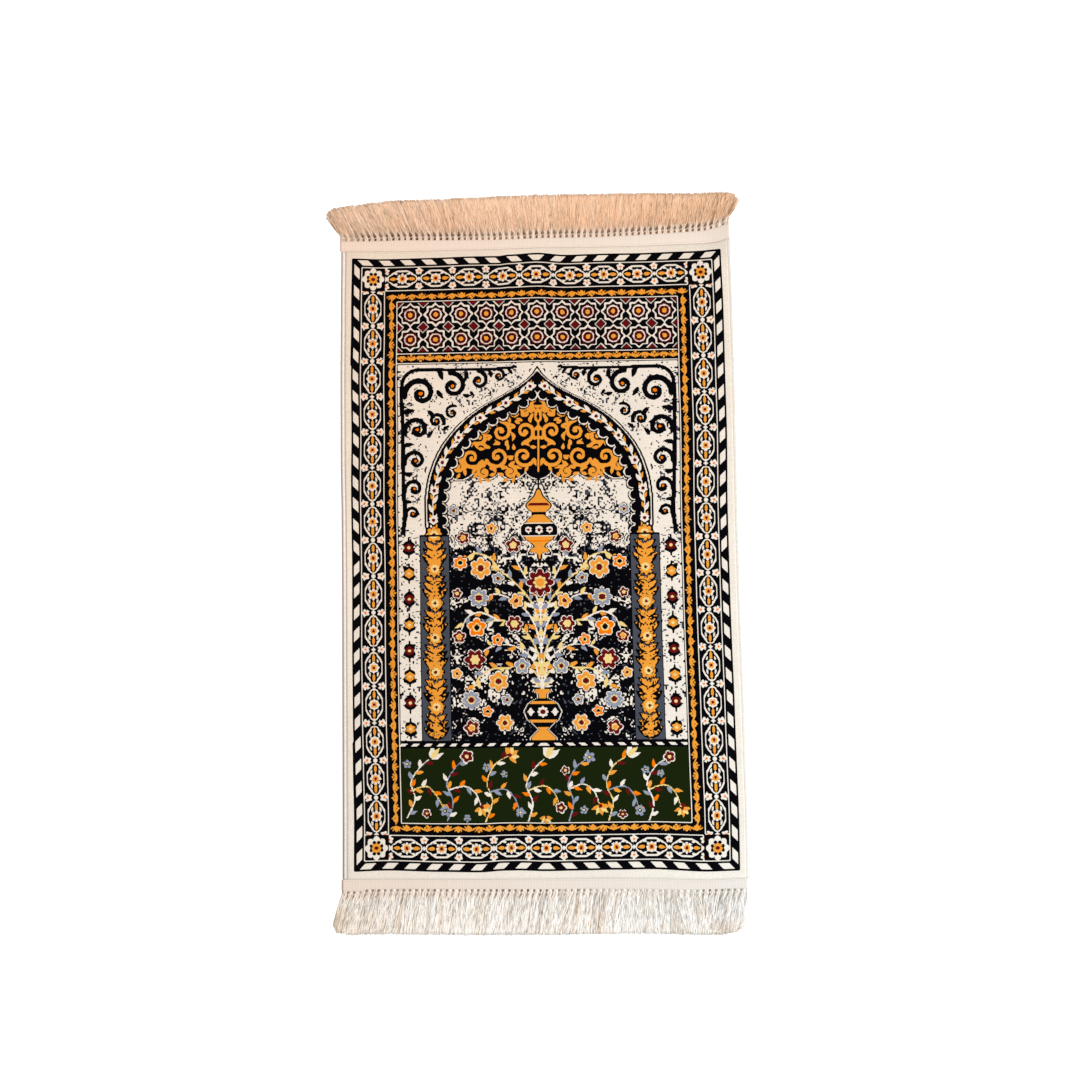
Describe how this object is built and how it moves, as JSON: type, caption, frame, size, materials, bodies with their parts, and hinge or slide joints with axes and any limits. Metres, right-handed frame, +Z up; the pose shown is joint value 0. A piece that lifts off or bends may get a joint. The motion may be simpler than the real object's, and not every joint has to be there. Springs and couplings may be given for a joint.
{
  "type": "prayer rug",
  "caption": "Small flat pile rug with overcast long sides and a ribbed heading tape with a tied tassel fringe across each end.",
  "frame": {"origin": "middle of the whole rug with its fringes, on the floor under it", "axes": "+Z up, +Y along the rug to its niche end, +X to the right seen from above with the niche end away"},
  "size_m": [0.7398, 1.3136, 0.005],
  "materials": {
    "pile": "short dense pile, soft sheen",
    "top_yarn": "fine twisted yarn, soft sheen",
    "foot_yarn": "fine twisted yarn, soft sheen"
  },
  "bodies": {
    "root": {"rug": "pile", "fringe_top": "top_yarn", "fringe_bottom": "foot_yarn"}
  },
  "joints": []
}
